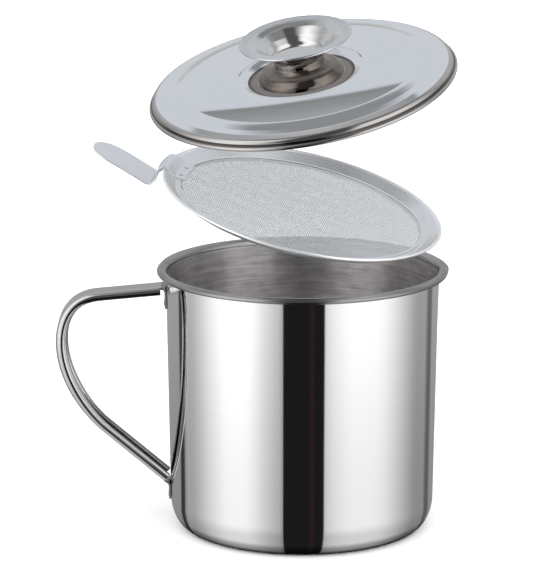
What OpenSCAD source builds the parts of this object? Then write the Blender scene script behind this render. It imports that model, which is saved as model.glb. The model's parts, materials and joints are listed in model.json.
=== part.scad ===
// Bacon grease container: a steel mug, a drop-in mesh strainer and a cap lid.
// Lengths are in millimetres. Origin: centre of the mug's base, +Z up.
// The handle points to -X. The strainer and the lid are held lifted and tilted
// above the mug; drive_strainer and drive_lid at 0 seat them.

/* [Mug] */
// Outer radius of the wall just under the lip
pot_r = 65; // [64.6:0.1:65.3]
// Height from the table to the top of the lip
pot_h = 126.4; // [118:0.2:134]
// How much narrower the wall is at the bottom, in radius
wall_drop = 1.95; // [0:0.05:3]
// Height of the rounded bottom corner
corner_h = 14.8; // [8:0.1:18]
// Width of the rounded bottom corner
corner_w = 8.9; // [6:0.1:14]
// Thickness of the mug's sheet
pot_t = 0.8; // [0.6:0.05:1]
// Radius of the rolled bead's outermost edge
lip_r = 69.3; // [69.1:0.05:69.4]

/* [Handle] */
// Width of the handle's strip
handle_w = 15.6; // [12:0.2:18]
// Depth of the folded edges
handle_d = 4.2; // [3:0.1:5]
// Width of the folded edges
fold_w = 3.4; // [2.4:0.1:4.4]
// Thickness of the handle's sheet
handle_t = 1; // [0.8:0.1:1.2]
// Distance from the mug's axis to the handle's outer face
handle_reach = 117.5; // [108:0.5:126]

/* [Strainer] */
// Outer radius of the strainer's rolled edge
flange_r = 67.7; // [67.4:0.05:67.8]
// Radius of the mesh disc
mesh_r = 59.6; // [58.8:0.1:59.8]
// Thickness of the strainer's sheet
strainer_t = 0.6; // [0.5:0.05:0.6]
// Width of the lifting tab
tab_w = 22; // [16:0.5:24]
// Distance from the strainer's axis to the tab's tip
tab_reach = 103.6; // [96:0.2:112]
// Direction of the tab about the strainer's axis, in degrees
tab_turn = 169; // [160:1:180]

/* [Lid] */
// Outer radius of the lid's rolled edge
lid_r = 72.9; // [72.8:0.05:73.6]
// Thickness of the lid's sheet
lid_t = 0.5; // [0.45:0.05:0.5]
// Height of the raised top above the rolled edge's centre
lid_top = 6.85; // [6.4:0.05:7.6]
// Radius of the recess around the knob
recess_r = 27; // [26:0.1:30]

/* [Knob] */
// Outer radius of the knob's dish
dish_r = 26.5; // [24.5:0.1:29]
// Radius of the knob's foot
foot_r = 20.6; // [18.5:0.1:22.5]
// Radius of the knob's neck
neck_r = 12; // [10.5:0.1:13]

/* [Positions] */
// Tilt of the lifted strainer about its lifting axis, in degrees; 0 seats it
drive_strainer = 15.2; // [0:0.1:15.2]
// Tilt of the lifted lid about its lifting axis, in degrees; 0 seats it
drive_lid = 21.5; // [0:0.1:21.5]

/* [Hidden] */
$fn = 96;
wall_top = pot_h - 3;
bot_r = pot_r - wall_drop;
bead_r = 1.15;
// seated height of the strainer's flange, and of the lid above that flange
strainer_seat = pot_h + 1.2;
lid_seat = -1.6;
// lifting axes: direction angle, point on the axis, both horizontal
s_turn = 53.25;
s_pivot = [92.1, -68.7, strainer_seat + 15.4];
l_turn = -80;
l_pivot = [-159, -27.6, -5];
steel = [0.78, 0.79, 0.81];
satin = [0.72, 0.74, 0.76];
mesh_c = [0.84, 0.86, 0.88];
warm = [0.55, 0.52, 0.49];

// wall radius at a height
function wall_r(z) = bot_r + (pot_r - bot_r) * (z - corner_h) / (wall_top - corner_h);
// unit normal on the left of a segment
function left_n(a, b) = let (d = b - a, l = norm(d)) [-d[1] / l, d[0] / l];
// a point of the path pushed sideways by t
function pushed(p, i, t) = let (
    n = len(p),
    a = i == 0 ? left_n(p[0], p[1]) : left_n(p[i - 1], p[i]),
    b = i == n - 1 ? left_n(p[n - 2], p[n - 1]) : left_n(p[i], p[i + 1]))
    p[i] + t * (a + b) / (1 + a * b);
// closed outline of a sheet that follows a path
function sheet(p, t) = concat(p, [for (i = [len(p) - 1 : -1 : 0]) pushed(p, i, t)]);
// points on an arc
function arc(c, rx, ry, a0, a1, n) = [for (i = [0 : n]) let (a = a0 + (a1 - a0) * i / n)
    [c[0] + rx * cos(a), c[1] + ry * sin(a)]];
// points on a cubic curve, first point left out
function bez(a, b, c, d, n) = [for (i = [1 : n]) let (t = i / n, u = 1 - t)
    u * u * u * a + 3 * u * u * t * b + 3 * u * t * t * c + t * t * t * d];

module lathe(pts) rotate_extrude() polygon(pts);

// strainer frame: seated, then lifted along its arc
module at_strainer() translate(s_pivot)
    rotate(a = drive_strainer, v = [cos(s_turn), sin(s_turn), 0])
    translate(-s_pivot) translate([0, 0, strainer_seat]) children();
// lid frame: seated on the strainer, then lifted along its arc
module at_lid() at_strainer() translate(l_pivot)
    rotate(a = drive_lid, v = [cos(l_turn), sin(l_turn), 0])
    translate(-l_pivot) translate([0, 0, lid_seat]) children();

// mug: one deep-drawn sheet with a rounded corner, a flared lip and a rolled bead
pot_path = concat([[0, 0]],
    arc([bot_r - corner_w, corner_h], corner_w, corner_h, -90, 0, 6),
    arc([pot_r + 2.2, wall_top], 2.2, 2.2, 180, 76, 5));
module pot_body() color(steel) rotate_extrude() union() {
    polygon(sheet(pot_path, pot_t));
    translate([lip_r - bead_r, pot_h - 1.85]) circle(r = bead_r, $fn = 48);
}

// handle: strip with its edges folded over inwards, ending in two tabs on the wall
hx = handle_reach - 117.5;
handle_path = concat([[-65.3, 117.5], [-98, 114.4]],
    bez([-98, 114.4], [-111 - hx, 113.2], [-117.5 - hx, 104], [-117.5 - hx, 90], 6),
    bez([-117.5 - hx, 90], [-117.5 - hx, 76], [-110.5, 60.5], [-97, 47.9], 6),
    [[-63.4, 19.6]]);
flange_path = concat([[-66.8, 117.36]], [for (i = [1 : len(handle_path) - 2]) handle_path[i]],
    [[-64.4, 20.45]]);
fold_path = [for (i = [0 : len(flange_path) - 1]) pushed(flange_path, i, handle_d - handle_t)];
module strip(p, t, w) rotate([90, 0, 0]) linear_extrude(height = w, center = true) polygon(sheet(p, t));
module wall_tab(z0, z1, w, t, g) intersection() {
    lathe([[wall_r(z0) + g, z0], [wall_r(z0) + g + t, z0], [wall_r(z1) + g + t, z1], [wall_r(z1) + g, z1]]);
    translate([-80, -w / 2, z0 - 1]) cube([40, w, z1 - z0 + 2]);
}
module handle() color(steel) union() {
    difference() {
        union() {
            strip(handle_path, handle_t, handle_w);
            for (s = [-1, 1]) translate([0, s * (handle_w - handle_t) / 2, 0])
                strip(flange_path, handle_d, handle_t);
            for (s = [-1, 1]) translate([0, s * (handle_w - fold_w) / 2, 0])
                strip(fold_path, handle_t, fold_w);
        }
        lathe([[0, 5], [wall_r(5) + 0.1, 5], [wall_r(122) + 0.1, 122], [0, 122]]);
    }
    wall_tab(106.6, 117.4, handle_w - 1, 0.9, 0.06);
    wall_tab(12.6, 20.4, handle_w - 1, 0.9, 0.06);
}

// handle_welds: the four raised spots that join the tabs to the wall
module spot(z, y) intersection() {
    lathe([[wall_r(z - 4) + 0.96, z - 4], [wall_r(z - 4) + 1.2, z - 4],
        [wall_r(z + 4) + 1.2, z + 4], [wall_r(z + 4) + 0.96, z + 4]]);
    translate([-80, y, z]) rotate([0, 90, 0]) cylinder(r = 1.5, h = 40, $fn = 32);
}
module handle_welds() color(satin) union() {
    for (y = [-3.8, 3.8]) spot(109.4, y);
    for (y = [-3.8, 3.8]) spot(15.2, y);
}

// strainer_rim: conical wall from the rolled edge down to a ledge under the mesh
rim_path = [[57.6, -3.9], [60.4, -3.9], [60.9, -3.75], [61.3, -3.4], [62.6, -2.45],
    [64.0, -1.45], [65.4, -0.55], [66.2, -0.12], [flange_r - 0.9, 0.1]];
module strainer_rim() color(satin) at_strainer() union() {
    lathe(sheet(rim_path, -strainer_t));
    rotate_extrude() translate([flange_r - 0.7, -0.2]) circle(r = 0.7, $fn = 48);
}

// strainer_mesh: the woven disc, as one thin sheet
module strainer_mesh() color(mesh_c) at_strainer() translate([0, 0, -3.9]) cylinder(r = mesh_r, h = 0.5);

// mesh_ring: flat ring that clamps the mesh onto the ledge
module mesh_ring() color(satin) at_strainer() translate([0, 0, -3.4])
    lathe([[58.4, 0], [mesh_r + 0.2, 0], [mesh_r + 0.2, 0.5], [58.4, 0.5]]);

// strainer_tab: strap from the mesh over the rolled edge, S-bend down and a tongue to lift by
tab_t = 0.7;
tab_path = [[56.3, -2.42], [60.9, -2.42], [61.7, -2.15], [62.5, -1.65], [64.9, 0.25], [65.4, 0.68],
    [66.0, 0.93],
    [67.6, 0.97], [68.9, 0.7], [69.7, -0.15], [69.98, -1.4], [70.02, -3.8], [70.4, -5.9],
    [71.2, -7.7], [72.3, -8.7], [73.6, -9.05], [75.2, -8.7], [88, -4.9], [tab_reach + 1.7, -0.5]];
module strainer_tab() color(satin) at_strainer() rotate([0, 0, tab_turn]) intersection() {
    lathe(sheet([for (i = [0 : len(tab_path) - 1]) pushed(tab_path, i, -tab_t / 2)], tab_t));
    translate([0, 0, -20]) linear_extrude(height = 40) union() {
        translate([50, -tab_w / 2]) square([tab_reach - 50 - 10.4, tab_w]);
        translate([tab_reach - 10.4 - 3, -tab_w / 2 + 10.4]) square([13.4, tab_w - 20.8]);
        for (s = [-1, 1]) translate([tab_reach - 10.4, s * (tab_w / 2 - 10.4)]) circle(r = 10.4, $fn = 64);
    }
}

// tab_welds: two spot welds that join the tab to the clamp ring
module tab_welds() color(satin) at_strainer() rotate([0, 0, tab_turn]) union() {
    for (y = [-5.5, 5.5]) translate([58.6, y, -2.06]) cylinder(r = 1.1, h = 0.18, $fn = 32);
}

// lid_shell: one pressed sheet with a soft-sided recess, a raised top, a step and a rolled edge
lid_path = concat([[2.1, 4.45], [recess_r - 2.0, 4.45], [recess_r - 1.4, 4.75], [recess_r - 0.9, 5.25],
    [recess_r, 5.85], [recess_r + 1.5, lid_top - 0.4], [recess_r + 3.4, lid_top], [45, lid_top - 0.25], [56.6, lid_top - 0.8],
    [59.3, lid_top - 1.3], [61.4, 4.5], [63.6, 3.95]],
    arc([lid_r - 3.75, 1.75], 2.1, 2.1, 90, 10, 5), [[lid_r - 1.65, -0.3]]);
module lid_shell() color(steel) at_lid() union() {
    lathe(sheet(lid_path, -lid_t));
    rotate_extrude() translate([lid_r - 0.95, 0]) circle(r = 0.95, $fn = 48);
}

// knob_base: bell-shaped stamping that stands in the recess
base_path = [[foot_r, 4.6], [foot_r - 0.25, 6.2], [foot_r - 1.4, 8.0], [foot_r - 3.6, 9.2],
    [neck_r + 2.2, 9.9], [neck_r + 0.6, 10.9], [neck_r + 0.1, 12.3], [neck_r, 13.7],
    [neck_r - 0.5, 14.2], [3.4, 14.2]];
module knob_base() color(warm) at_lid() lathe(sheet(base_path, 0.6));

// knob_dish: flared bowl stamping on top of the base
dish_path = [[0, 14.25], [neck_r - 0.6, 14.25], [neck_r + 0.1, 14.8], [neck_r + 0.7, 16.2],
    [15.0, 18.6], [18.6, 21.6], [dish_r - 5.7, 22.95], [dish_r - 4.2, 23.3], [dish_r - 0.5, 23.45]];
module knob_dish() color(steel) at_lid() rotate_extrude() union() {
    polygon(sheet(dish_path, 0.6));
    translate([dish_r - 0.5, 23.72]) circle(r = 0.5, $fn = 32);
}

// knob_stud: internally threaded post under the dish
module knob_stud() color(warm) at_lid() difference() {
    translate([0, 0, 4.5]) cylinder(r = 3.1, h = 9.7, $fn = 48);
    translate([0, 0, 4]) cylinder(r = 1.6, h = 8.6, $fn = 48);
}

// knob_screw: pan-head screw through the lid into the stud, with a cross recess
module knob_screw() color(satin) at_lid() difference() {
    union() {
        translate([0, 0, 1.5]) cylinder(r = 3.1, h = 1.6, $fn = 48);
        translate([0, 0, 2.5]) cylinder(r = 1.5, h = 9.3, $fn = 48);
    }
    translate([-2, -0.4, 0.5]) cube([4, 0.8, 1.9]);
    translate([-0.4, -2, 0.5]) cube([0.8, 4, 1.9]);
}

// knob_washer: flat washer between the screw's head and the lid
module knob_washer() color(satin) at_lid() translate([0, 0, 3.12]) difference() {
    cylinder(r = 5, h = 0.8, $fn = 48);
    translate([0, 0, -1]) cylinder(r = 1.8, h = 3, $fn = 48);
}

pot_body();
handle();
handle_welds();
strainer_rim();
strainer_mesh();
mesh_ring();
strainer_tab();
tab_welds();
lid_shell();
knob_base();
knob_dish();
knob_stud();
knob_screw();
knob_washer();
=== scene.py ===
import json
import math
import bpy
import numpy as np
from mathutils import Matrix, Vector

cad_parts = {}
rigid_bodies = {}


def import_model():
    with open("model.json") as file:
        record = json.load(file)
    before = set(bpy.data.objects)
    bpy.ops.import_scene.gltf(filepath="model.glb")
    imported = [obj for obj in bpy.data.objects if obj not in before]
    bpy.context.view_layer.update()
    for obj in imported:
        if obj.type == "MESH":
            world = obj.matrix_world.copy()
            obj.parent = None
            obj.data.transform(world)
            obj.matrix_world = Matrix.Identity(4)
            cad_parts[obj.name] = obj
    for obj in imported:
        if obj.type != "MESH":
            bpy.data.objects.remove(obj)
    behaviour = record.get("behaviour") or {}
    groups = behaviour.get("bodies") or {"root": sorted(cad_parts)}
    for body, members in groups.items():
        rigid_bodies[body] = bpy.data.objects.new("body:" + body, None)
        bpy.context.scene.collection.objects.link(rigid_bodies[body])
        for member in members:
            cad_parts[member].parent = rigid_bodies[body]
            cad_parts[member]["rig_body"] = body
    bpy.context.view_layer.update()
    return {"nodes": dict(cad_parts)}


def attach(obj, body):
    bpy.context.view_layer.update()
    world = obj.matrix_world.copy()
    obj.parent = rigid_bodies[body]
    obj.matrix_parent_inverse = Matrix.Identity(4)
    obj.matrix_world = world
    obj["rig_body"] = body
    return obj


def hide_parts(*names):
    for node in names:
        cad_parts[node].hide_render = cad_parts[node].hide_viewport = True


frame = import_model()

scene = bpy.context.scene
MM = 0.001
SEG = 256


# ---------------------------------------------------------------- places
def T(p):
    return Matrix.Translation(Vector(p))


def R(deg, v):
    return Matrix.Rotation(math.radians(deg), 4, Vector(v))


# the same two lifting arcs as the construction, in millimetres
S_PIVOT = (92.1, -68.7, 143.0)
L_PIVOT = (-159.0, -27.6, -5.0)
neg = lambda p: tuple(-c for c in p)
unit = lambda deg: (math.cos(math.radians(deg)), math.sin(math.radians(deg)), 0.0)
M_STRAINER = T(S_PIVOT) @ R(15.2, unit(53.25)) @ T(neg(S_PIVOT)) @ T((0, 0, 127.6))
M_LID = M_STRAINER @ T(L_PIVOT) @ R(21.5, unit(-80)) @ T(neg(L_PIVOT)) @ T((0, 0, -1.6))
M_TAB = M_STRAINER @ R(169, (0, 0, 1))
M_MUG = Matrix.Identity(4)


def in_metres(m):
    m = m.copy()
    m.translation = m.translation * MM
    return m


# ---------------------------------------------------------------- 2-D profiles, millimetres
def arc(cx, cz, rx, rz, a0, a1, n):
    return [(cx + rx * math.cos(math.radians(a0 + (a1 - a0) * i / n)),
             cz + rz * math.sin(math.radians(a0 + (a1 - a0) * i / n))) for i in range(n + 1)]


def line(a, b, n):
    return [(a[0] + (b[0] - a[0]) * i / n, a[1] + (b[1] - a[1]) * i / n) for i in range(n + 1)]


def fillet(pts, step=6.0):
    """Polyline (x, z, radius) with every corner rounded to its radius."""
    out = [(pts[0][0], pts[0][1])]
    n = len(pts)
    for i in range(1, n - 1):
        p0, p1, p2 = (np.array(pts[j][:2], float) for j in (i - 1, i, i + 1))
        r = pts[i][2]
        u, v = p0 - p1, p2 - p1
        lu, lv = np.linalg.norm(u), np.linalg.norm(v)
        u, v = u / lu, v / lv
        ang = math.acos(max(-1, min(1, float(u @ v))))
        turn = math.pi - ang
        if turn < 1e-4 or r <= 0:
            out.append(tuple(p1))
            continue
        t = r * math.tan(turn / 2)
        lim = 0.48 * min(lu, lv)
        if t > lim:
            t = lim
            r = t / math.tan(turn / 2)
        a, b = p1 + u * t, p1 + v * t
        bis = (u + v) / np.linalg.norm(u + v)
        c = p1 + bis * math.hypot(r, t)
        a0 = math.atan2(a[1] - c[1], a[0] - c[0])
        a1 = math.atan2(b[1] - c[1], b[0] - c[0])
        d = (a1 - a0 + math.pi) % (2 * math.pi) - math.pi
        k = max(2, int(abs(math.degrees(d)) / step) + 1)
        for j in range(k + 1):
            w = a0 + d * j / k
            out.append((c[0] + r * math.cos(w), c[1] + r * math.sin(w)))
    out.append((pts[-1][0], pts[-1][1]))
    return clean(out)


def clean(p, eps=1e-4):
    out = [p[0]]
    for q in p[1:]:
        if math.hypot(q[0] - out[-1][0], q[1] - out[-1][1]) > eps:
            out.append(q)
    return out


def normals2(p):
    """Left normals of an open path, the longer neighbour counting more."""
    p = np.array(p, float)
    d = np.diff(p, axis=0)
    n = np.stack([-d[:, 1], d[:, 0]], 1)
    s = np.zeros_like(p)
    s[:-1] += n
    s[1:] += n
    return s / np.linalg.norm(s, axis=1)[:, None]


def pushed(p, t):
    n = normals2(p)
    q = np.array(p, float) + t * n
    return [tuple(x) for x in q]


def densify(p, most):
    out = [p[0]]
    for a, b in zip(p[:-1], p[1:]):
        k = max(1, int(math.ceil(math.hypot(b[0] - a[0], b[1] - a[1]) / most)))
        for j in range(1, k + 1):
            out.append((a[0] + (b[0] - a[0]) * j / k, a[1] + (b[1] - a[1]) * j / k))
    return out


def end_cap(a, b, n=6):
    """Half circle from a to b, bulging to the right of a to b."""
    a, b = np.array(a, float), np.array(b, float)
    c = (a + b) / 2
    r = np.linalg.norm(a - b) / 2
    w0 = math.atan2(a[1] - c[1], a[0] - c[0])
    return [(c[0] + r * math.cos(w0 + math.pi * j / n), c[1] + r * math.sin(w0 + math.pi * j / n)) for j in range(1, n)]


# ---------------------------------------------------------------- meshes
def area_normals(me):
    """Vertex normals weighted by face area, so a flat face next to a small radius stays flat."""
    nv = len(me.vertices)
    co = np.zeros(nv * 3, np.float64)
    me.vertices.foreach_get("co", co)
    co = co.reshape(-1, 3)
    acc = np.zeros_like(co)
    nl = len(me.loops)
    lv = np.zeros(nl, np.int64)
    me.loops.foreach_get("vertex_index", lv)
    npoly = len(me.polygons)
    ls = np.zeros(npoly, np.int64)
    lt = np.zeros(npoly, np.int64)
    me.polygons.foreach_get("loop_start", ls)
    me.polygons.foreach_get("loop_total", lt)
    for size in (3, 4):
        sel = ls[lt == size]
        if not len(sel):
            continue
        idx = lv[sel[:, None] + np.arange(size)[None, :]]
        if size == 3:
            c = np.cross(co[idx[:, 1]] - co[idx[:, 0]], co[idx[:, 2]] - co[idx[:, 0]])
        else:
            c = np.cross(co[idx[:, 2]] - co[idx[:, 0]], co[idx[:, 3]] - co[idx[:, 1]])
        for k in range(size):
            np.add.at(acc, idx[:, k], c)
    ln = np.linalg.norm(acc, axis=1)
    ln[ln == 0] = 1
    return acc / ln[:, None]


def volume(verts, faces):
    v = np.asarray(verts, float)
    t = []
    for f in faces:
        for k in range(1, len(f) - 1):
            t.append((f[0], f[k], f[k + 1]))
    t = np.array(t)
    return float(np.einsum("ij,ij->i", v[t[:, 0]], np.cross(v[t[:, 1]], v[t[:, 2]])).sum() / 6)


def make(name, verts, faces, mats, matrix, body, nodes=(), idx=None, sharp=None):
    """A closed piece given in its own frame. Its place goes into the mesh, and each point keeps its own-frame
    coordinates as an attribute, so turning lines and grain follow the piece."""
    verts = np.asarray(verts, float)
    if volume(verts, faces) < 0:
        faces = [tuple(reversed(f)) for f in faces]
    world = in_metres(matrix)
    rot = np.array([[world[i][j] for j in range(3)] for i in range(3)])
    placed = verts @ rot.T + np.array([world[i][3] for i in range(3)])
    me = bpy.data.meshes.new(name)
    me.from_pydata([tuple(v) for v in placed], [], [tuple(f) for f in faces])
    own = me.attributes.new("own", "FLOAT_VECTOR", "POINT")
    own.data.foreach_set("vector", verts.astype(np.float32).ravel())
    for m in mats:
        me.materials.append(m)
    if idx is not None:
        me.polygons.foreach_set("material_index", np.array(idx, np.int32))
    me.polygons.foreach_set("use_smooth", np.ones(len(me.polygons), bool))
    me.update()
    ob = bpy.data.objects.new(name, me)
    scene.collection.objects.link(ob)
    if sharp:
        me.set_sharp_from_angle(angle=math.radians(sharp))
        wn = ob.modifiers.new("even_normals", "WEIGHTED_NORMAL")
        wn.mode = "FACE_AREA"
        wn.keep_sharp = True
    else:
        me.normals_split_custom_set_from_vertices([tuple(x) for x in area_normals(me)])
    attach(ob, body)
    if nodes:
        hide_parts(*nodes)
    return ob


def lathe_mesh(loop, seg=SEG, bend=None):
    """Closed outline turned about Z. Points on the axis become poles. Walking the outline keeps the solid on the left."""
    pts = clean(list(loop))
    if math.hypot(pts[0][0] - pts[-1][0], pts[0][1] - pts[-1][1]) < 1e-4:
        pts = pts[:-1]
    n = len(pts)
    verts, start = [], []
    ang = np.arange(seg) * 2 * math.pi / seg
    for r, z in pts:
        start.append(len(verts))
        if r < 1e-6:
            verts.append((0.0, 0.0, z))
        else:
            for a in ang:
                verts.append((r * math.cos(a), r * math.sin(a), z))
    if bend:
        verts = [bend(v) for v in verts]
    faces, part = [], []
    for i in range(n):
        j = (i + 1) % n
        pi, pj = pts[i][0] < 1e-6, pts[j][0] < 1e-6
        if pi and pj:
            continue
        for k in range(seg):
            k2 = (k + 1) % seg
            a, b = start[i] + (0 if pi else k), start[i] + (0 if pi else k2)
            c, d = start[j] + (0 if pj else k2), start[j] + (0 if pj else k)
            if pi:
                faces.append((a, c, d))
            elif pj:
                faces.append((a, b, c))
            else:
                faces.append((a, b, c, d))
            part.append(i)
    verts = np.array(verts) * MM
    return verts, faces, part


# ---------------------------------------------------------------- shader helpers
class Net:
    def __init__(self, tree):
        self.t = tree
        tree.nodes.clear()

    def add(self, kind, **ins):
        nd = self.t.nodes.new(kind)
        for k, v in ins.items():
            if k.startswith("_"):
                setattr(nd, k[1:], v)
        for k, v in ins.items():
            if not k.startswith("_"):
                self.put(nd.inputs[k.replace("__", " ")], v)
        return nd

    def put(self, sock, v):
        if hasattr(v, "is_output"):
            self.t.links.new(v, sock)
        else:
            sock.default_value = v

    def m(self, op, a, b=0.0, c=0.0, clamp=False):
        nd = self.t.nodes.new("ShaderNodeMath")
        nd.operation = op
        nd.use_clamp = clamp
        for s, v in zip(nd.inputs, (a, b, c)):
            self.put(s, v)
        return nd.outputs[0]

    def rng(self, v, f0, f1, t0=0.0, t1=1.0, kind="SMOOTHSTEP"):
        nd = self.t.nodes.new("ShaderNodeMapRange")
        nd.interpolation_type = kind
        for s, x in zip(nd.inputs, (v, f0, f1, t0, t1)):
            self.put(s, x)
        return nd.outputs[0]

    def mix(self, f, a, b):
        nd = self.t.nodes.new("ShaderNodeMix")
        nd.data_type = "RGBA"
        self.put(nd.inputs[0], f)
        self.put(nd.inputs[6], a)
        self.put(nd.inputs[7], b)
        return nd.outputs[2]

    def noise(self, vec, scale=1.0, detail=2.0, rough=0.5, dist=0.0):
        nd = self.add("ShaderNodeTexNoise", Scale=scale, Detail=detail, Roughness=rough, Distortion=dist)
        self.t.links.new(vec, nd.inputs["Vector"])
        return nd.outputs["Fac"]

    def xyz(self, x, y, z):
        nd = self.t.nodes.new("ShaderNodeCombineXYZ")
        for s, v in zip(nd.inputs, (x, y, z)):
            self.put(s, v)
        return nd.outputs[0]


def rgb(c, k=1.0):
    return (c[0] * k, c[1] * k, c[2] * k, 1.0)


def steel(name, tint, dark, rough, rough_var=0.03, grain="none", grain_k=1.0, bump=0.0, wave=0.0,
          scratch=0.0, aniso=0.0, smudge=0.35, own=True, metal=1.0):
    """Procedural stainless steel. Coordinates are the piece's own, so turning lines run about its axis."""
    mt = bpy.data.materials.new(name)
    mt.use_nodes = True
    g = Net(mt.node_tree)
    out = g.add("ShaderNodeOutputMaterial")
    b = g.add("ShaderNodeBsdfPrincipled", Metallic=metal)
    g.t.links.new(b.outputs[0], out.inputs[0])
    if own:
        obj = g.add("ShaderNodeAttribute", _attribute_name="own").outputs["Vector"]
    else:
        obj = g.add("ShaderNodeTexCoord").outputs["Object"]
    sep = g.add("ShaderNodeSeparateXYZ")
    g.t.links.new(obj, sep.inputs[0])
    x, y, z = sep.outputs
    r = g.m("SQRT", g.m("ADD", g.m("MULTIPLY", x, x), g.m("MULTIPLY", y, y)))
    rs = g.m("MAXIMUM", r, 0.0005)
    ux, uy = g.m("DIVIDE", x, rs), g.m("DIVIDE", y, rs)
    cloud = g.noise(obj, 38.0, 3.0, 0.55)
    patch = g.noise(obj, 11.0, 2.0, 0.5)
    if grain == "wall":      # lines run round the wall, they change with height
        gv = g.xyz(g.m("MULTIPLY", ux, 2.2), g.m("MULTIPLY", uy, 2.2), g.m("MULTIPLY", z, 1500 * grain_k))
        gv2 = g.xyz(g.m("MULTIPLY", ux, 9.0), g.m("MULTIPLY", uy, 9.0), g.m("MULTIPLY", z, 420 * grain_k))
    elif grain == "disc":    # lines run round the axis, they change with radius
        gv = g.xyz(g.m("MULTIPLY", ux, 1.6), g.m("MULTIPLY", uy, 1.6), g.m("MULTIPLY", r, 1600 * grain_k))
        gv2 = g.xyz(g.m("MULTIPLY", ux, 5.0), g.m("MULTIPLY", uy, 5.0), g.m("MULTIPLY", r, 480 * grain_k))
    elif grain == "long":    # lines along X
        gv = g.xyz(g.m("MULTIPLY", x, 26.0), g.m("MULTIPLY", y, 1500 * grain_k), g.m("MULTIPLY", z, 900 * grain_k))
        gv2 = g.xyz(g.m("MULTIPLY", x, 60.0), g.m("MULTIPLY", y, 420 * grain_k), g.m("MULTIPLY", z, 300 * grain_k))
    else:
        gv = g.xyz(g.m("MULTIPLY", x, 700.0), g.m("MULTIPLY", y, 700.0), g.m("MULTIPLY", z, 700.0))
        gv2 = g.xyz(g.m("MULTIPLY", x, 180.0), g.m("MULTIPLY", y, 180.0), g.m("MULTIPLY", z, 180.0))
    fine = g.noise(gv, 1.0, 2.0, 0.6)
    broad = g.noise(gv2, 1.0, 2.0, 0.55)
    lines = g.m("ADD", g.m("MULTIPLY", fine, 0.6), g.m("MULTIPLY", broad, 0.4))
    # tint: a clean and a slightly deeper steel, broken up by grain and soft cloudiness
    f = g.m("ADD", g.rng(lines, 0.3, 0.72, 0.0, 1.0, "LINEAR"), g.m("MULTIPLY", g.m("SUBTRACT", patch, 0.5), smudge), clamp=True)
    col = g.mix(f, rgb(dark), rgb(tint))
    g.put(b.inputs["Base Color"], col)
    ro = g.m("ADD", rough - rough_var * 0.5, g.m("MULTIPLY", lines, rough_var))
    ro = g.m("ADD", ro, g.m("MULTIPLY", g.rng(cloud, 0.42, 0.75), rough_var * smudge))
    if scratch:
        sv = g.xyz(g.m("MULTIPLY", x, 90.0), g.m("MULTIPLY", y, 90.0), g.m("MULTIPLY", z, 2600.0))
        sc = g.rng(g.noise(sv, 1.0, 1.0, 0.5, 0.6), 0.70, 0.76)
        ro = g.m("ADD", ro, g.m("MULTIPLY", sc, scratch))
    g.put(b.inputs["Roughness"], ro)
    if aniso:
        b.inputs["Anisotropic"].default_value = aniso
        b.inputs["Anisotropic Rotation"].default_value = 0.25
        if grain in ("wall", "disc"):
            tg = g.add("ShaderNodeTangent", _direction_type="RADIAL", _axis="Z")
            g.t.links.new(tg.outputs[0], b.inputs["Tangent"])
    nrm = None
    if wave:
        wv = g.noise(obj, 26.0, 1.0, 0.4)
        bp = g.add("ShaderNodeBump", Strength=1.0, Distance=wave)
        g.t.links.new(wv, bp.inputs["Height"])
        nrm = bp.outputs[0]
    if bump:
        bp = g.add("ShaderNodeBump", Strength=1.0, Distance=bump)
        g.t.links.new(lines, bp.inputs["Height"])
        if nrm:
            g.t.links.new(nrm, bp.inputs["Normal"])
        nrm = bp.outputs[0]
    if nrm:
        g.t.links.new(nrm, b.inputs["Normal"])
    return mt


WALL = steel("steel_mirror_wall", (0.94, 0.935, 0.945), (0.915, 0.91, 0.925), 0.04, 0.02, "wall", 0.6,
             wave=0.00002, scratch=0.03, smudge=0.5)
INNER = steel("steel_brushed_inside", (0.97, 0.95, 0.945), (0.50, 0.485, 0.48), 0.30, 0.08, "wall", 0.55,
              bump=0.000006, aniso=0.97)
# painted shade: the rolled lip is the wall's steel made darker, so its reflection reads grey
LIP_PAINTED_SHADE = steel("steel_lip_painted_shade", (0.46, 0.45, 0.455), (0.31, 0.30, 0.305), 0.16, 0.08, "disc", 1.0, bump=0.000003)
BASE = steel("steel_base", (0.82, 0.81, 0.82), (0.62, 0.61, 0.62), 0.22, 0.12, "disc", 0.8, bump=0.000006, aniso=0.4)
STRIP = steel("steel_handle", (0.70, 0.695, 0.705), (0.62, 0.61, 0.62), 0.06, 0.03, "long", 0.8,
              bump=0.000001, wave=0.000008, scratch=0.04)
# painted shade: a darker copy of the handle steel for the hollow of the channel and the faces towards the mug
STRIP_IN_PAINTED_SHADE = steel("steel_handle_inside_painted_shade", (0.34, 0.335, 0.34), (0.20, 0.195, 0.20), 0.10, 0.06, "long", 0.8, bump=0.000001)
SPOT = steel("steel_weld_spots", (0.76, 0.75, 0.75), (0.50, 0.48, 0.47), 0.30, 0.16, "none", 1.0, bump=0.00002)
SATIN = steel("steel_satin", (0.93, 0.955, 0.98), (0.82, 0.845, 0.87), 0.24, 0.08, "disc", 1.0, bump=0.000002, smudge=0.6,
              metal=0.90)
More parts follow.
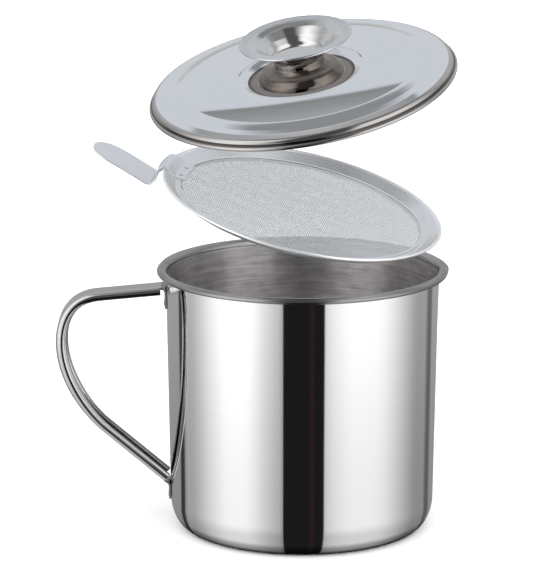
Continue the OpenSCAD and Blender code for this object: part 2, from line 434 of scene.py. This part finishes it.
# painted highlight: a paler, less metallic copy of the satin steel for the strainer's rolled outer edge
SATIN_EDGE_PAINTED_HIGHLIGHT = steel("steel_satin_edge_painted_highlight", (0.95, 0.97, 0.99), (0.88, 0.90, 0.92), 0.22, 0.06, "disc", 1.0, bump=0.000001, metal=0.68)
TAB = steel("steel_tab", (0.93, 0.955, 0.985), (0.82, 0.85, 0.885), 0.30, 0.10, "long", 1.0, bump=0.000003, smudge=0.6,
            metal=0.95)
WIRE = steel("steel_wire", (0.86, 0.90, 0.925), (0.75, 0.795, 0.825), 0.24, 0.10, "none", 1.0, metal=0.92)
LID = steel("steel_lid", (0.905, 0.925, 0.95), (0.87, 0.89, 0.92), 0.026, 0.015, "disc", 0.7, wave=0.000003, smudge=0.5)
LID_IN = steel("steel_lid_inside", (0.80, 0.80, 0.81), (0.62, 0.62, 0.63), 0.20, 0.12, "disc", 0.8, bump=0.000005, aniso=0.4)
# painted shade: the lid's shoulder, skirt and bead are the lid steel made darker
LID_EDGE_PAINTED_SHADE = steel("steel_lid_edge_painted_shade", (0.60, 0.59, 0.575), (0.49, 0.475, 0.46), 0.11, 0.05, "disc", 1.0, bump=0.000001)
# painted shade: near-black steel standing in for the shadow in the lid's grooves
GROOVE_PAINTED_SHADE = steel("steel_lid_groove_painted_shade", (0.15, 0.14, 0.135), (0.07, 0.065, 0.06), 0.22, 0.08, "disc", 1.0, bump=0.000001)
# painted dark reflection: the recess floor round the knob is the lid steel coloured dark brown
RECESS_PAINTED_DARK_REFLECTION = steel("steel_lid_recess_painted_dark_reflection", (0.34, 0.30, 0.285), (0.20, 0.175, 0.165), 0.16, 0.08, "disc", 1.0, bump=0.000001)
# painted dark reflection: the knob's steel foot coloured dark brown
KNOB_PAINTED_DARK_REFLECTION = steel("steel_knob_base_painted_dark_reflection", (0.26, 0.228, 0.205), (0.15, 0.13, 0.115), 0.09, 0.05, "disc", 0.5, smudge=0.2)
DISH = steel("steel_knob_dish", (0.82, 0.82, 0.815), (0.68, 0.68, 0.67), 0.10, 0.04, "disc", 0.6, smudge=0.2)
# painted dark reflection: the dish's underside is steel coloured near-black brown
DISH_UNDER_PAINTED_DARK_REFLECTION = steel("steel_knob_under_painted_dark_reflection", (0.20, 0.175, 0.15), (0.10, 0.088, 0.076), 0.10, 0.05, "disc", 0.5, smudge=0.2)
DISH_RIM = steel("steel_knob_rim", (0.84, 0.865, 0.89), (0.70, 0.72, 0.745), 0.24, 0.10, "disc", 1.0, bump=0.000005)
HARD = steel("steel_hardware", (0.72, 0.71, 0.70), (0.50, 0.49, 0.48), 0.26, 0.14, "none", 1.2, bump=0.000004, own=False)

# ---------------------------------------------------------------- mug
BOT_R, TOP_R, Z0, Z1 = 63.05, 65.0, 14.8, 123.4
wall_r = lambda z: BOT_R + (TOP_R - BOT_R) * (z - Z0) / (Z1 - Z0)

base = fillet([(0, 0.4, 0), (43.5, 0.4, 1.5), (45.0, 0.0, 1.5), (53.9, 0.0, 0), (54.15, 0.0, 0)])
corner = arc(54.15, 14.8, 8.9, 14.8, -90, 0, 22)
wall = densify([(BOT_R, Z0), (TOP_R, Z1)], 3.0)
flare = arc(67.2, 123.4, 2.2, 2.2, 180, 118, 10)
bead = arc(68.15, 124.55, 1.15, 1.15, 205, 425, 30)
roll = arc(67.2, 123.4, 3.0, 3.0, 73, 180, 20)
inner = densify([(64.2, Z1), (BOT_R - 0.8, Z0)], 3.0)
corner_in = arc(54.15, 14.8, 8.1, 14.0, 0, -90, 22)
n0 = len(clean(base)) - 1
mug_loop, tags = [], []
# tag 1, the bead and the roll, takes the lip steel with painted shade
for part, tag in ((base, 3), (corner, 0), (wall, 0), (flare, 0), (bead, 1), (roll, 1), (inner, 2), (corner_in, 2), ([(0, 0.8)], 2)):
    for q in part:
        if mug_loop and math.hypot(q[0] - mug_loop[-1][0], q[1] - mug_loop[-1][1]) < 1e-4:  # shared end
            tags[-1] = tag
            continue
        mug_loop.append(q)
        tags.append(tag)


def spout(v):
    """Shallow pour dent in the top of the wall, to the right and slightly back."""
    x, y, z = v
    rr = math.hypot(x, y)
    if z < 96 or rr < 50:
        return v
    a = math.degrees(math.atan2(y, x)) - 9.0
    w = math.exp(-(a / 8.5) ** 2)
    t = max(0.0, min(1.0, (z - 98.0) / 28.4))
    d = 1.15 * w * t * t * (3 - 2 * t)
    k = (rr + d) / rr
    return (x * k, y * k, z - 0.45 * w * max(0.0, min(1.0, (z - 122) / 4)))


vs, fs, part = lathe_mesh(mug_loop, SEG, spout)
make("mug_shell", vs, fs, [WALL, LIP_PAINTED_SHADE, INNER, BASE], M_MUG, "mug", ("pot_body",),
     [tags[i] for i in part])


# handle: channel strip swept along its bent line
def bez(a, b, c, d, n):
    out = []
    for i in range(n + 1):
        t = i / n
        u = 1 - t
        out.append(tuple(u ** 3 * a[k] + 3 * u * u * t * b[k] + 3 * u * t * t * c[k] + t ** 3 * d[k] for k in (0, 1)))
    return out


tab_x = lambda z, g: -(wall_r(z) + g)
upper = fillet([(tab_x(106.6, 0.06), 106.6, 0), (tab_x(117.53, 0.06), 117.53, 2.6), (-80, 116.1, 0), (-98, 114.4, 0)])
loop_a = bez((-98, 114.4), (-111, 113.2), (-117.5, 104), (-117.5, 90), 26)
loop_b = bez((-117.5, 90), (-117.5, 76), (-110.5, 60.5), (-97, 47.9), 26)
lower = fillet([(-97, 47.9, 0), (-80, 33.58, 0), (tab_x(20.2, 0.96), 20.2, 3.0), (tab_x(12.6, 0.96), 12.6, 0)])
h_path = densify(clean(upper + loop_a + loop_b + lower), 1.6)
h_n = normals2(h_path)
h_s = np.concatenate([[0], np.cumsum(np.linalg.norm(np.diff(np.array(h_path), axis=0), axis=1))])
H_LEN = float(h_s[-1])


def ramp(v, a, b):
    t = max(0.0, min(1.0, (v - a) / (b - a)))
    return t * t * (3 - 2 * t)


SHEET = 0.9
FREE = 148.0    # how far round the rolled edge goes, measured from its side


def flat_section(W, t=SHEET):
    """Plain strip with rounded edges, point for point the same count as the rolled one."""
    e = t / 2 - 0.01
    half = line((0, 0), (W - e, 0), 6)[:-1]
    half += arc(W - e, t / 2, e, t / 2, -90, 90, 20 + 8 + 16)
    half += line((W - e, t), (0, t), 6)[1:]
    return half + [(-y, q) for y, q in half[::-1]][1:-1]


def rolled_section(D, W, t=SHEET):
    """Strip whose edges roll inwards. Points are (across, depth)."""
    r = D / 2
    c = (W - r, r)
    half = line((0, 0), (W - r, 0), 6)[:-1]
    half += arc(c[0], c[1], r, r, -90, FREE, 20)
    a = math.radians(FREE)
    m = (c[0] + (r - t / 2) * math.cos(a), c[1] + (r - t / 2) * math.sin(a))
    half += [(m[0] + t / 2 * math.cos(a + math.pi * k / 8), m[1] + t / 2 * math.sin(a + math.pi * k / 8)) for k in range(1, 8)]
    half += arc(c[0], c[1], r - t, r - t, FREE, -90, 16)
    half += line((W - r, t), (0, t), 6)[1:]
    return half + [(-y, q) for y, q in half[::-1]][1:-1]


CUT_TOP = next(i for i, q in enumerate(h_path) if h_s[i] > 11 and q[0] < -67.3)
CUT_LOW = max(i for i, q in enumerate(h_path) if h_s[i] < H_LEN - 8 and q[0] < -65.6)
verts, rings = [], []


def add_ring(i, rolled):
    p, n, q = h_path[i], h_n[i], h_s[i]
    q2 = H_LEN - q
    D = 3.9 + 1.5 * ramp(q, 38, 68) - 1.1 * ramp(q, 96, 130)
    W = 7.8 if rolled else 7.1 + 0.5 * ramp(q, 9, 13) * ramp(q2, 7, 11)
    for dist, rad in ((q, 1.8), (q2, 2.0)):
        if dist < rad:
            W -= rad - math.sqrt(max(0.0, rad * rad - (rad - dist) ** 2))
    hug = max(1 - ramp(q, 8.5, 14), 1 - ramp(q2, 6.5, 12))
    sec = rolled_section(D, W) if rolled else flat_section(W)
    rings.append((len(verts), len(sec)))
    for y, dep in sec:
        verts.append(((p[0] + n[0] * dep + y * y / 129.0 * hug) * MM, y * MM, (p[1] + n[1] * dep) * MM))


for i in range(len(h_path)):
    if i == CUT_TOP:
        add_ring(i, False)
    add_ring(i, CUT_TOP <= i <= CUT_LOW)
    if i == CUT_LOW:
        add_ring(i, False)
m = rings[0][1]
assert all(k == m for _, k in rings), "sections differ"
rings = [a for a, _ in rings]
# index 1 is painted shade: inside the rolled edges, the web's underside, the flat ends and the end caps
faces, painted_shade_idx = [], []
for i, (a, b) in enumerate(zip(rings[:-1], rings[1:])):
    kt = 26 - int(round(7 * ramp(h_s[min(i, len(h_s) - 1)], 105, 135)))    # painted shade reaches further round the rolled edge on the slanted part
    for k in range(m):
        k2 = (k + 1) % m
        faces.append((a + k, a + k2, b + k2, b + k))
        painted_shade_idx.append(1 if i <= CUT_TOP - 2 or i > CUT_LOW + 1 or kt <= k < m - kt else 0)
for ring, flip in ((rings[0], True), (rings[-1], False)):
    c = len(verts)
    verts.append(tuple(np.array(verts[ring:ring + m]).mean(0)))
    for k in range(m):
        k2 = (k + 1) % m
        faces.append((ring + k2, ring + k, c) if flip else (ring + k, ring + k2, c))
        painted_shade_idx.append(1)
make("handle_strip", verts, faces, [STRIP, STRIP_IN_PAINTED_SHADE], M_MUG, "mug", ("handle",), painted_shade_idx, sharp=40)


def spots(name, centres, frame_fn, r, h, mat, matrix, body, nodes):
    """Weld marks: low domes with a pressed centre."""
    prof = [(0.0, 0.42), (0.3, 0.40), (0.55, 0.62), (0.74, 0.98), (0.86, 0.86), (0.97, 0.35), (1.0, 0.0)]
    verts, faces = [], []
    K = 24
    for c in centres:
        base_i = len(verts)
        o, u, v, w = frame_fn(c)
        verts.append(tuple((o + w * prof[0][1] * h) * MM))
        for q, hh in prof[1:]:
            for k in range(K):
                a = 2 * math.pi * k / K
                verts.append(tuple((o + u * (r * q * math.cos(a)) + v * (r * q * math.sin(a)) + w * hh * h) * MM))
        verts.append(tuple(o * MM))
        last = len(verts) - 1
        for k in range(K):
            faces.append((base_i, base_i + 1 + k, base_i + 1 + (k + 1) % K))
        for j in range(len(prof) - 2):
            s0, s1 = base_i + 1 + j * K, base_i + 1 + (j + 1) * K
            for k in range(K):
                faces.append((s0 + k, s1 + k, s1 + (k + 1) % K, s0 + (k + 1) % K))
        s1 = base_i + 1 + (len(prof) - 2) * K
        for k in range(K):
            faces.append((s1 + (k + 1) % K, s1 + k, last))
    return make(name, verts, faces, [mat], matrix, body, nodes)


def on_wall(c):
    y, z = c
    rr = wall_r(z) + 0.97
    a = math.asin(y / rr)
    w = np.array([-math.cos(a), math.sin(a), 0.0])
    v = np.array([0.0, 0.0, 1.0])
    u = np.cross(v, w)
    return np.array([-rr * math.cos(a), rr * math.sin(a), z]), u, v, w


spots("handle_spots", [(y, z) for z in (109.4, 15.2) for y in (-3.8, 3.8)], on_wall, 1.5, 0.22, SPOT, M_MUG, "mug",
      ("handle_welds",))

# ---------------------------------------------------------------- strainer
top = fillet([(57.6, -3.9, 0), (60.75, -3.9, 0.7), (65.7, -0.40, 3.0), (66.35, 0.14, 0)])
edge = arc(67.0, -0.2, 0.7, 0.7, 115, -140, 26)
low = pushed(top, -0.58)[::-1]
low = [q for q in low if q[0] < 66.2]
loop = top + edge + low + [(57.45, -4.2)]
loop = clean(loop[::-1])
vs, fs, part = lathe_mesh(loop, SEG)
# the rolled edge past r 65.9 takes the satin steel with the painted highlight
make("strainer_frame", vs, fs, [SATIN, SATIN_EDGE_PAINTED_HIGHLIGHT], M_STRAINER, "strainer", ("strainer_rim",),
     [1 if loop[i][0] > 65.9 else 0 for i in part])

ring = fillet([(58.4, -3.4, 0), (59.75, -3.4, 0.1), (59.75, -2.92, 0.15), (58.4, -2.92, 0.15), (58.4, -3.4, 0)])
vs, fs, part = lathe_mesh(ring, SEG)
make("mesh_clamp_ring", vs, fs, [SATIN], M_STRAINER, "strainer", ("mesh_ring",))

# woven mesh: plain weave, every wire its own bent tube
PITCH, WIRE_R, MESH_R, MESH_Z = 1.02, 0.146, 59.3, -3.65
SIDES = 5


def weave():
    verts, faces = [], []
    nmax = int(MESH_R / PITCH)
    ring = [(math.cos(2 * math.pi * k / SIDES + 0.3), math.sin(2 * math.pi * k / SIDES + 0.3)) for k in range(SIDES)]
    for direction in (0, 1):
        for i in range(-nmax, nmax + 1):
            c = i * PITCH
            half = math.sqrt(max(0.0, MESH_R ** 2 - c * c))
            k = int(half / PITCH)
            if k < 2:
                continue
            js = list(range(-k, k + 1))
            first = len(verts)
            for j in js:
                a = j * PITCH
                up = 1 if (i + j + direction) % 2 == 0 else -1
                wob = 0.03 * math.sin(i * 12.9898 + j * 0.37) * PITCH
                zc = MESH_Z + up * WIRE_R * 0.69
                for cy, cz in ring:
                    off = c + wob + cy * WIRE_R
                    if direction == 0:
                        verts.append((a * MM, off * MM, (zc + cz * WIRE_R) * MM))
                    else:
                        verts.append((off * MM, a * MM, (zc + cz * WIRE_R) * MM))
            for q in range(len(js) - 1):
                s0, s1 = first + q * SIDES, first + (q + 1) * SIDES
                for e in range(SIDES):
                    e2 = (e + 1) % SIDES
                    f = (s0 + e, s1 + e, s1 + e2, s0 + e2)
                    faces.append(f if direction == 1 else f[::-1])
            for s0, flip in ((first, False), (first + (len(js) - 1) * SIDES, True)):
                cap = [s0 + e for e in range(SIDES)]
                tri = [(cap[0], cap[e], cap[e + 1]) for e in range(1, SIDES - 1)]
                if flip == (direction == 1):
                    tri = [t[::-1] for t in tri]
                faces.extend(tri)
    return verts, faces


WEAVE_TURN = 12.0
vs, fs = weave()
make("woven_mesh", vs, fs, [WIRE], M_STRAINER @ R(WEAVE_TURN, (0, 0, 1)), "strainer", ("strainer_mesh",))

# lifting tab: bent strap, rounded edges
t_mid = fillet([(56.4, -2.42, 0), (61.4, -2.42, 1.4), (65.3, 0.60, 1.6), (66.2, 0.95, 1.0), (68.4, 0.95, 1.2),
                (69.95, -0.35, 1.4), (70.03, -5.2, 2.2), (72.2, -9.1, 2.2), (74.4, -9.15, 1.8), (88, -4.9, 6), (103.58, -0.85, 0)])
t_mid = densify(clean(t_mid), 1.0)
tip = [q for q in t_mid if q[0] < 93.2]
a, b = tip[-1], t_mid[-1]
for j in range(1, 29):
    x = 93.2 + 10.4 * math.sin(math.pi / 2 * j / 28)
    f = (x - a[0]) / (b[0] - a[0])
    tip.append((x, a[1] + (b[1] - a[1]) * f))
t_mid = tip
t_n = normals2(t_mid)
TT = 0.35
verts, rings = [], []
for (x, z), n in zip(t_mid, t_n):
    W = 11.0
    if x > 93.2:
        W = 0.6 + math.sqrt(max(0.0, 10.4 ** 2 - (x - 93.2) ** 2))
    if x < 57.4:
        W -= 0.8 * (1 - ramp(x, 56.3, 57.2))
    e = min(TT, W * 0.5)
    sec = line((-(W - e), TT), (W - e, TT), 14)[:-1] + [(W - e + e * math.cos(w), TT * math.sin(w)) for w in
           [math.pi / 2 - math.pi * j / 8 for j in range(8)]]
    sec += line((W - e, -TT), (-(W - e), -TT), 14)[:-1] + [(-(W - e) - e * math.cos(w), TT * math.sin(w)) for w in
           [-math.pi / 2 + math.pi * j / 8 for j in range(8)]]
    rings.append(len(verts))
    for y, d in sec:
        px = math.sqrt(max(0.0, x * x - y * y))
        verts.append(((px + n[0] * d) * MM, y * MM, (z + n[1] * d) * MM))
m = len(sec)
faces = []
for a, b in zip(rings[:-1], rings[1:]):
    for k in range(m):
        k2 = (k + 1) % m
        faces.append((a + k, b + k, b + k2, a + k2))
for ring_i, flip in ((rings[0], False), (rings[-1], True)):
    c = len(verts)
    verts.append(tuple(np.array(verts[ring_i:ring_i + m]).mean(0)))
    for k in range(m):
        k2 = (k + 1) % m
        faces.append((ring_i + k2, ring_i + k, c) if flip else (ring_i + k, ring_i + k2, c))
make("lifting_tab", verts, faces, [TAB], M_TAB, "strainer", ("strainer_tab",))


def on_strap(c):
    return np.array([c[0], c[1], -2.065]), np.array([1.0, 0, 0]), np.array([0, 1.0, 0]), np.array([0, 0, 1.0])


spots("tab_spots", [(58.6, -5.5), (58.6, 5.5)], on_strap, 1.1, 0.17, SPOT, M_TAB, "strainer", ("tab_welds",))

# ---------------------------------------------------------------- lid
dome = [(r, 6.86 + 0.000336 * (28.2 ** 2 - r * r)) for r in np.linspace(31.5, 56.6, 24)]
well = fillet([(2.1, 4.45, 0), (23.9, 4.45, 0), (25.0, 4.45, 0.4), (25.35, 4.75, 0.25), (26.3, 5.35, 2.2), (28.3, 6.42, 5.0), (30.3, 6.83, 3.0), dome[0] + (0,)])
fall = fillet([dome[-2] + (0,), (57.9, 5.72, 5), (61.4, 4.66, 5), (64.6, 4.02, 4), (69.2, 3.84, 0)], 3.0)[1:]
crown = clean(well + dome + fall)
shoulder = arc(69.15, 1.75, 2.1, 2.1, 88, 4, 14)
skirt = [(71.24, 1.2), (71.22, 0.95)]
curl = arc(71.93, 0.0, 0.94, 0.94, 128, -150, 30)
outside = clean(crown + shoulder + skirt)
inside = pushed(outside, -0.5)[::-1]
inside = [q for q in inside if q[1] > 0.2 or q[0] < 60]
lid_loop = outside + curl + [(70.76, -0.1)] + inside
# index 1 is the shoulder, skirt and bead with painted shade, index 3 the recess floor with painted dark reflection,
# index 4 the grooves with painted shade
lid_tags = [3 if q[0] < 24 else 4 if q[0] < 25.9 else 0 for q in crown] + [1] * (len(outside) - len(crown) - 3) + [4] * 3     # 4: painted shade in the groove and at the foot of the recess wall
lid_tags += [4] * 6 + [1] * (len(curl) - 6) + [2] * (1 + len(inside))
lid_loop, lid_tags = lid_loop[::-1], lid_tags[::-1]
pts, tg = [lid_loop[0]], [lid_tags[0]]
for q, t in zip(lid_loop[1:], lid_tags[1:]):
    if math.hypot(q[0] - pts[-1][0], q[1] - pts[-1][1]) > 1e-3:
        pts.append(q)
        tg.append(t)
vs, fs, part = lathe_mesh(pts, SEG)
make("lid_cap", vs, fs, [LID, LID_EDGE_PAINTED_SHADE, LID_IN, RECESS_PAINTED_DARK_REFLECTION, GROOVE_PAINTED_SHADE], M_LID, "lid", ("lid_shell",), [tg[i] for i in part])

# knob: bell foot
kb = fillet([(20.6, 4.62, 0), (20.3, 6.6, 1.6), (17.9, 9.15, 3.0), (14.2, 9.8, 2.6), (12.15, 11.4, 1.6), (12.05, 13.6, 1.2), (11.3, 14.2, 0.5), (3.4, 14.2, 0)])
ki = pushed(kb, 0.6)[::-1]
loop = kb + ki
vs, fs, part = lathe_mesh(loop, SEG)
# the whole foot carries the painted dark reflection
make("knob_foot", vs, fs, [KNOB_PAINTED_DARK_REFLECTION], M_LID, "lid", ("knob_base",))

# knob: flared dish
du = fillet([(0, 14.25, 0), (11.3, 14.25, 0.5), (12.3, 15.1, 0.9), (12.7, 16.4, 1.2), (15.1, 18.8, 4), (18.7, 21.75, 3), (21.0, 23.0, 3), (22.8, 23.36, 2), (25.55, 23.45, 0)])
di = pushed(du, 0.6)
rim = arc(26.0, 23.72, 0.5, 0.5, -125, 118, 20)
di = [q for q in di if q[0] < 25.55]
loop = du + rim + di[::-1]
loop[-1] = (0, 14.85)
# index 1, the dish's underside, takes the steel with painted dark reflection
tags = [1] * (len(du)) + [2] * len(rim) + [0] * len(di)
flat_from = 21.4
k0 = len(du) + len(rim)
for j, q in enumerate(di[::-1]):
    if q[0] > flat_from:
        tags[k0 + j] = 2
pts, tg = [loop[0]], [tags[0]]
for q, t in zip(loop[1:], tags[1:]):
    if math.hypot(q[0] - pts[-1][0], q[1] - pts[-1][1]) > 1e-3:
        pts.append(q)
        tg.append(t)
vs, fs, part = lathe_mesh(pts, SEG)
make("knob_bowl", vs, fs, [DISH, DISH_UNDER_PAINTED_DARK_REFLECTION, DISH_RIM], M_LID, "lid", ("knob_dish",), [tg[i] for i in part])

# as in the photograph, the lifted pieces aren't mirrored in each other or in the mug
for ob in bpy.data.objects:
    if ob.type == "MESH" and ob.get("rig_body") in ("strainer", "lid"):
        ob.visible_glossy = False

# hidden hardware keeps its constructed shape
for nm in ("knob_stud", "knob_screw", "knob_washer"):
    ob = frame["nodes"][nm]
    ob.data.materials.clear()
    ob.data.materials.append(HARD)

# ---------------------------------------------------------------- stage
def stage_mesh(name, verts, faces, mat):
    me = bpy.data.meshes.new(name)
    me.from_pydata(verts, [], faces)
    me.materials.append(mat)
    ob = bpy.data.objects.new(name, me)
    scene.collection.objects.link(ob)
    return ob


fm = bpy.data.materials.new("floor_pale")
fm.use_nodes = True
g = Net(fm.node_tree)
o = g.add("ShaderNodeOutputMaterial")
d = g.add("ShaderNodeBsdfDiffuse", Roughness=0.5)
d.inputs["Color"].default_value = (0.93, 0.93, 0.93, 1)
g.t.links.new(d.outputs[0], o.inputs[0])
F = 9.0
floor = stage_mesh("floor", [(-F, -F, 0), (F, -F, 0), (F, F, 0), (-F, F, 0)], [(0, 1, 2, 3)], fm)
floor.location.z = -0.0002
floor.visible_glossy = False

# light tent that only the steel's reflections see
tm = bpy.data.materials.new("tent_light")
tm.use_nodes = True
g = Net(tm.node_tree)
o = g.add("ShaderNodeOutputMaterial")
em = g.add("ShaderNodeEmission")
g.t.links.new(em.outputs[0], o.inputs[0])
tc = g.add("ShaderNodeTexCoord")
sp = g.add("ShaderNodeSeparateXYZ")
g.t.links.new(tc.outputs["Object"], sp.inputs[0])
X, Y, Z = sp.outputs
az = g.m("MULTIPLY", g.m("ARCTAN2", X, g.m("MULTIPLY", Y, -1.0)), 57.29578)
el = g.m("MULTIPLY", g.m("ARCSINE", g.m("MAXIMUM", -1.0, g.m("MINIMUM", Z, 1.0))), 57.29578)
mul, add = (lambda a, b: g.m("MULTIPLY", a, b)), (lambda a, b: g.m("ADD", a, b))
one_minus = lambda a: g.m("SUBTRACT", 1.0, a)


def hump(v, a0, a1, b1, b0):
    """0 outside a0 to b0, 1 from a1 to b1."""
    return mul(g.rng(v, a0, a1), g.rng(v, b1, b0, 1.0, 0.0))


def lift(base_v, f, target):
    return add(mul(base_v, one_minus(f)), mul(f, target))


# below the horizon the bands lean together so that they run on down the mug's rounded corner
lean = g.m("DIVIDE", X, g.m("SUBTRACT", 0.975, Y))
turn = g.m("MULTIPLY", g.m("ARCTANGENT", lean), 114.59156)
az = lift(az, g.rng(el, -6, 0, 1.0, 0.0), turn)

# two softboxes either side of the camera, with hot centres
val = 0.30
left =mul(g.rng(az, -120, -114), g.rng(az, -20, -14, 1.0, 0.0))
left_v = add(0.40, add(mul(hump(az, -112, -66, -52, -8), 0.58), mul(hump(az, -80, -60, -50, -30), 0.10)))
right = mul(g.rng(az, 14, 20), g.rng(az, 100, 132, 1.0, 0.0))
right_v = add(0.30, add(mul(hump(az, -10, 46, 62, 118), 0.62), mul(hump(az, 14, 26, 50, 90), 0.08)))
v = lift(val, left, left_v)
v = lift(v, right, right_v)
# narrow dark gaps at the far edges of the boxes
v = lift(v, mul(hump(az, -130, -126, -122, -118), 0.92), 0.02)
v = lift(v, mul(hump(az, 126, 134, 138, 145), 0.75), 0.06)
# brightness drops a little towards the bottom
v = mul(v, mul(g.rng(Z, -0.27, -0.06, 0.82, 1.06), g.rng(Z, -0.62, -0.18, 0.72, 1.0)))
# black card behind the camera, with a faint warm line in it
card = mul(mul(g.rng(lean, -0.145, -0.136), g.rng(lean, 0.152, 0.166, 1.0, 0.0)), g.rng(el, 1, 5, 1.0, 0.0))
card = mul(card, g.rng(Y, 0.4, 0.5, 1.0, 0.0))
faint = add(0.009, mul(hump(lean, 0.045, 0.065, 0.075, 0.095), 0.006))
v = lift(v, card, faint)
# dim overhead ceiling with a narrow dark strut in front of it
high = g.rng(el, 62, 72)
v = lift(v, high, 0.24)
strut = mul(hump(az, -36, -20, 20, 34), g.rng(el, 4, 9))
v = lift(v, mul(strut, g.rng(Y, -0.05, 0.0, 1.0, 0.0)), 0.09)
# behind the object a grey wall, pale above, with a sharp lower edge of the dim ceiling
back = g.rng(g.m("ABSOLUTE", az), 104, 128)
behind = add(0.38, mul(g.rng(el, 18, 28), 0.10))
behind = lift(behind, g.rng(el, 28, 32), 0.575)
bow = g.m("MINIMUM", add(X, 0.035), 0.0)
e2 = add(el, mul(110.0, mul(bow, bow)))
dim = add(add(0.215, mul(g.rng(e2, 48.8, 49.4), 0.04)), mul(g.rng(e2, 49.4, 50.6), 0.065))
dim = lift(dim, g.rng(e2, 51.0, 51.8), 0.52)
shape = mul(g.rng(e2, 48.52, 48.72), hump(X, -0.209, -0.200, -0.011, -0.004))
behind = lift(behind, shape, dim)
behind = lift(behind, mul(g.rng(el, 58, 66), g.rng(g.m("ABSOLUTE", az), 122, 134)), 0.24)
v = lift(v, mul(back, g.rng(el, -6, 2)), behind)
cool = g.mix(mul(mul(g.rng(el, 28, 34), one_minus(shape)), back), (1.0, 0.995, 1.0, 1), (0.955, 0.985, 1.03, 1))
cool = g.mix(mul(card, hump(lean, 0.045, 0.065, 0.075, 0.095)), cool, (1.3, 0.85, 0.8, 1))
g.put(em.inputs["Color"], cool)
g.put(em.inputs["Strength"], mul(v, 1.15))
tm.cycles.emission_sampling = "NONE"
tv, tf = [], []
NU, NV = 48, 24
for j in range(NV + 1):
    for i in range(NU):
        th, ph = math.pi * j / NV, 2 * math.pi * i / NU
        tv.append((math.sin(th) * math.cos(ph), math.sin(th) * math.sin(ph), math.cos(th)))
for j in range(NV):
    for i in range(NU):
        i2 = (i + 1) % NU
        tf.append((j * NU + i, j * NU + i2, (j + 1) * NU + i2, (j + 1) * NU + i))
tent = stage_mesh("light_tent", tv, tf, tm)
tent.visible_camera = tent.visible_diffuse = tent.visible_shadow = tent.visible_transmission = False



# painted contact shade: a black disc under the mug that only reflections see. It lets the tent through towards its
# edge, so the rounded bottom corner mirrors the tent darkening to nothing where the mug stands on the floor
cm = bpy.data.materials.new("painted_contact_shade")
cm.use_nodes = True
g = Net(cm.node_tree)
o = g.add("ShaderNodeOutputMaterial")
q = g.add("ShaderNodeSeparateXYZ")
g.t.links.new(g.add("ShaderNodeTexCoord").outputs["Object"], q.inputs[0])
rr = g.m("SQRT", g.m("ADD", g.m("MULTIPLY", q.outputs[0], q.outputs[0]), g.m("MULTIPLY", q.outputs[1], q.outputs[1])))
through = g.m("ADD", g.rng(rr, 0.0565, 0.0600, 0.05, 0.42), g.rng(rr, 0.0600, 0.0655, 0.0, 0.58))
clear, black = g.add("ShaderNodeBsdfTransparent"), g.add("ShaderNodeEmission", Strength=0.0)
mx = g.add("ShaderNodeMixShader")
g.t.links.new(through, mx.inputs[0])
g.t.links.new(black.outputs[0], mx.inputs[1])
g.t.links.new(clear.outputs[0], mx.inputs[2])
g.t.links.new(mx.outputs[0], o.inputs[0])
RC = 0.0665
cv = [(0, 0, -0.0004)] + [(RC * math.cos(2 * math.pi * k / 96), RC * math.sin(2 * math.pi * k / 96), -0.0004) for k in range(96)]
disc = stage_mesh("painted_contact_shade_disc", cv, [(0, 1 + k, 1 + (k + 1) % 96) for k in range(96)], cm)
disc.visible_camera = disc.visible_diffuse = disc.visible_shadow = disc.visible_transmission = False

# soft white light on the floor
w = bpy.data.worlds.new("soft_white")
scene.world = w
w.use_nodes = True
g = Net(w.node_tree)
o = g.add("ShaderNodeOutputWorld")
bg = g.add("ShaderNodeBackground")
bg.inputs["Color"].default_value = (1, 1, 1, 1)
bg.inputs["Strength"].default_value = 1.6
g.t.links.new(bg.outputs[0], o.inputs[0])

scene.view_settings.view_transform = "Standard"
scene.view_settings.look = "None"

# ---------------------------------------------------------------- camera
cam = bpy.data.cameras.new("camera")
cam.sensor_width = 36.0
cam.lens = 232.44
cam.clip_start = 0.05
cam.clip_end = 50.0
co = bpy.data.objects.new("camera", cam)
scene.collection.objects.link(co)
p, rho = 0.2248, 0.0012
dv = Vector((0, math.cos(p), -math.sin(p)))
r0, u0 = Vector((1, 0, 0)), Vector((0, math.sin(p), math.cos(p)))
rv = r0 * math.cos(rho) + u0 * math.sin(rho)
uv = -r0 * math.sin(rho) + u0 * math.cos(rho)
M = Matrix.Identity(4)
for i in range(3):
    M[i][0], M[i][1], M[i][2] = rv[i], uv[i], -dv[i]
M.translation = Vector((-0.013016, -1.700, 0.506636))
co.matrix_world = M
scene.camera = co

bpy.context.view_layer.update()
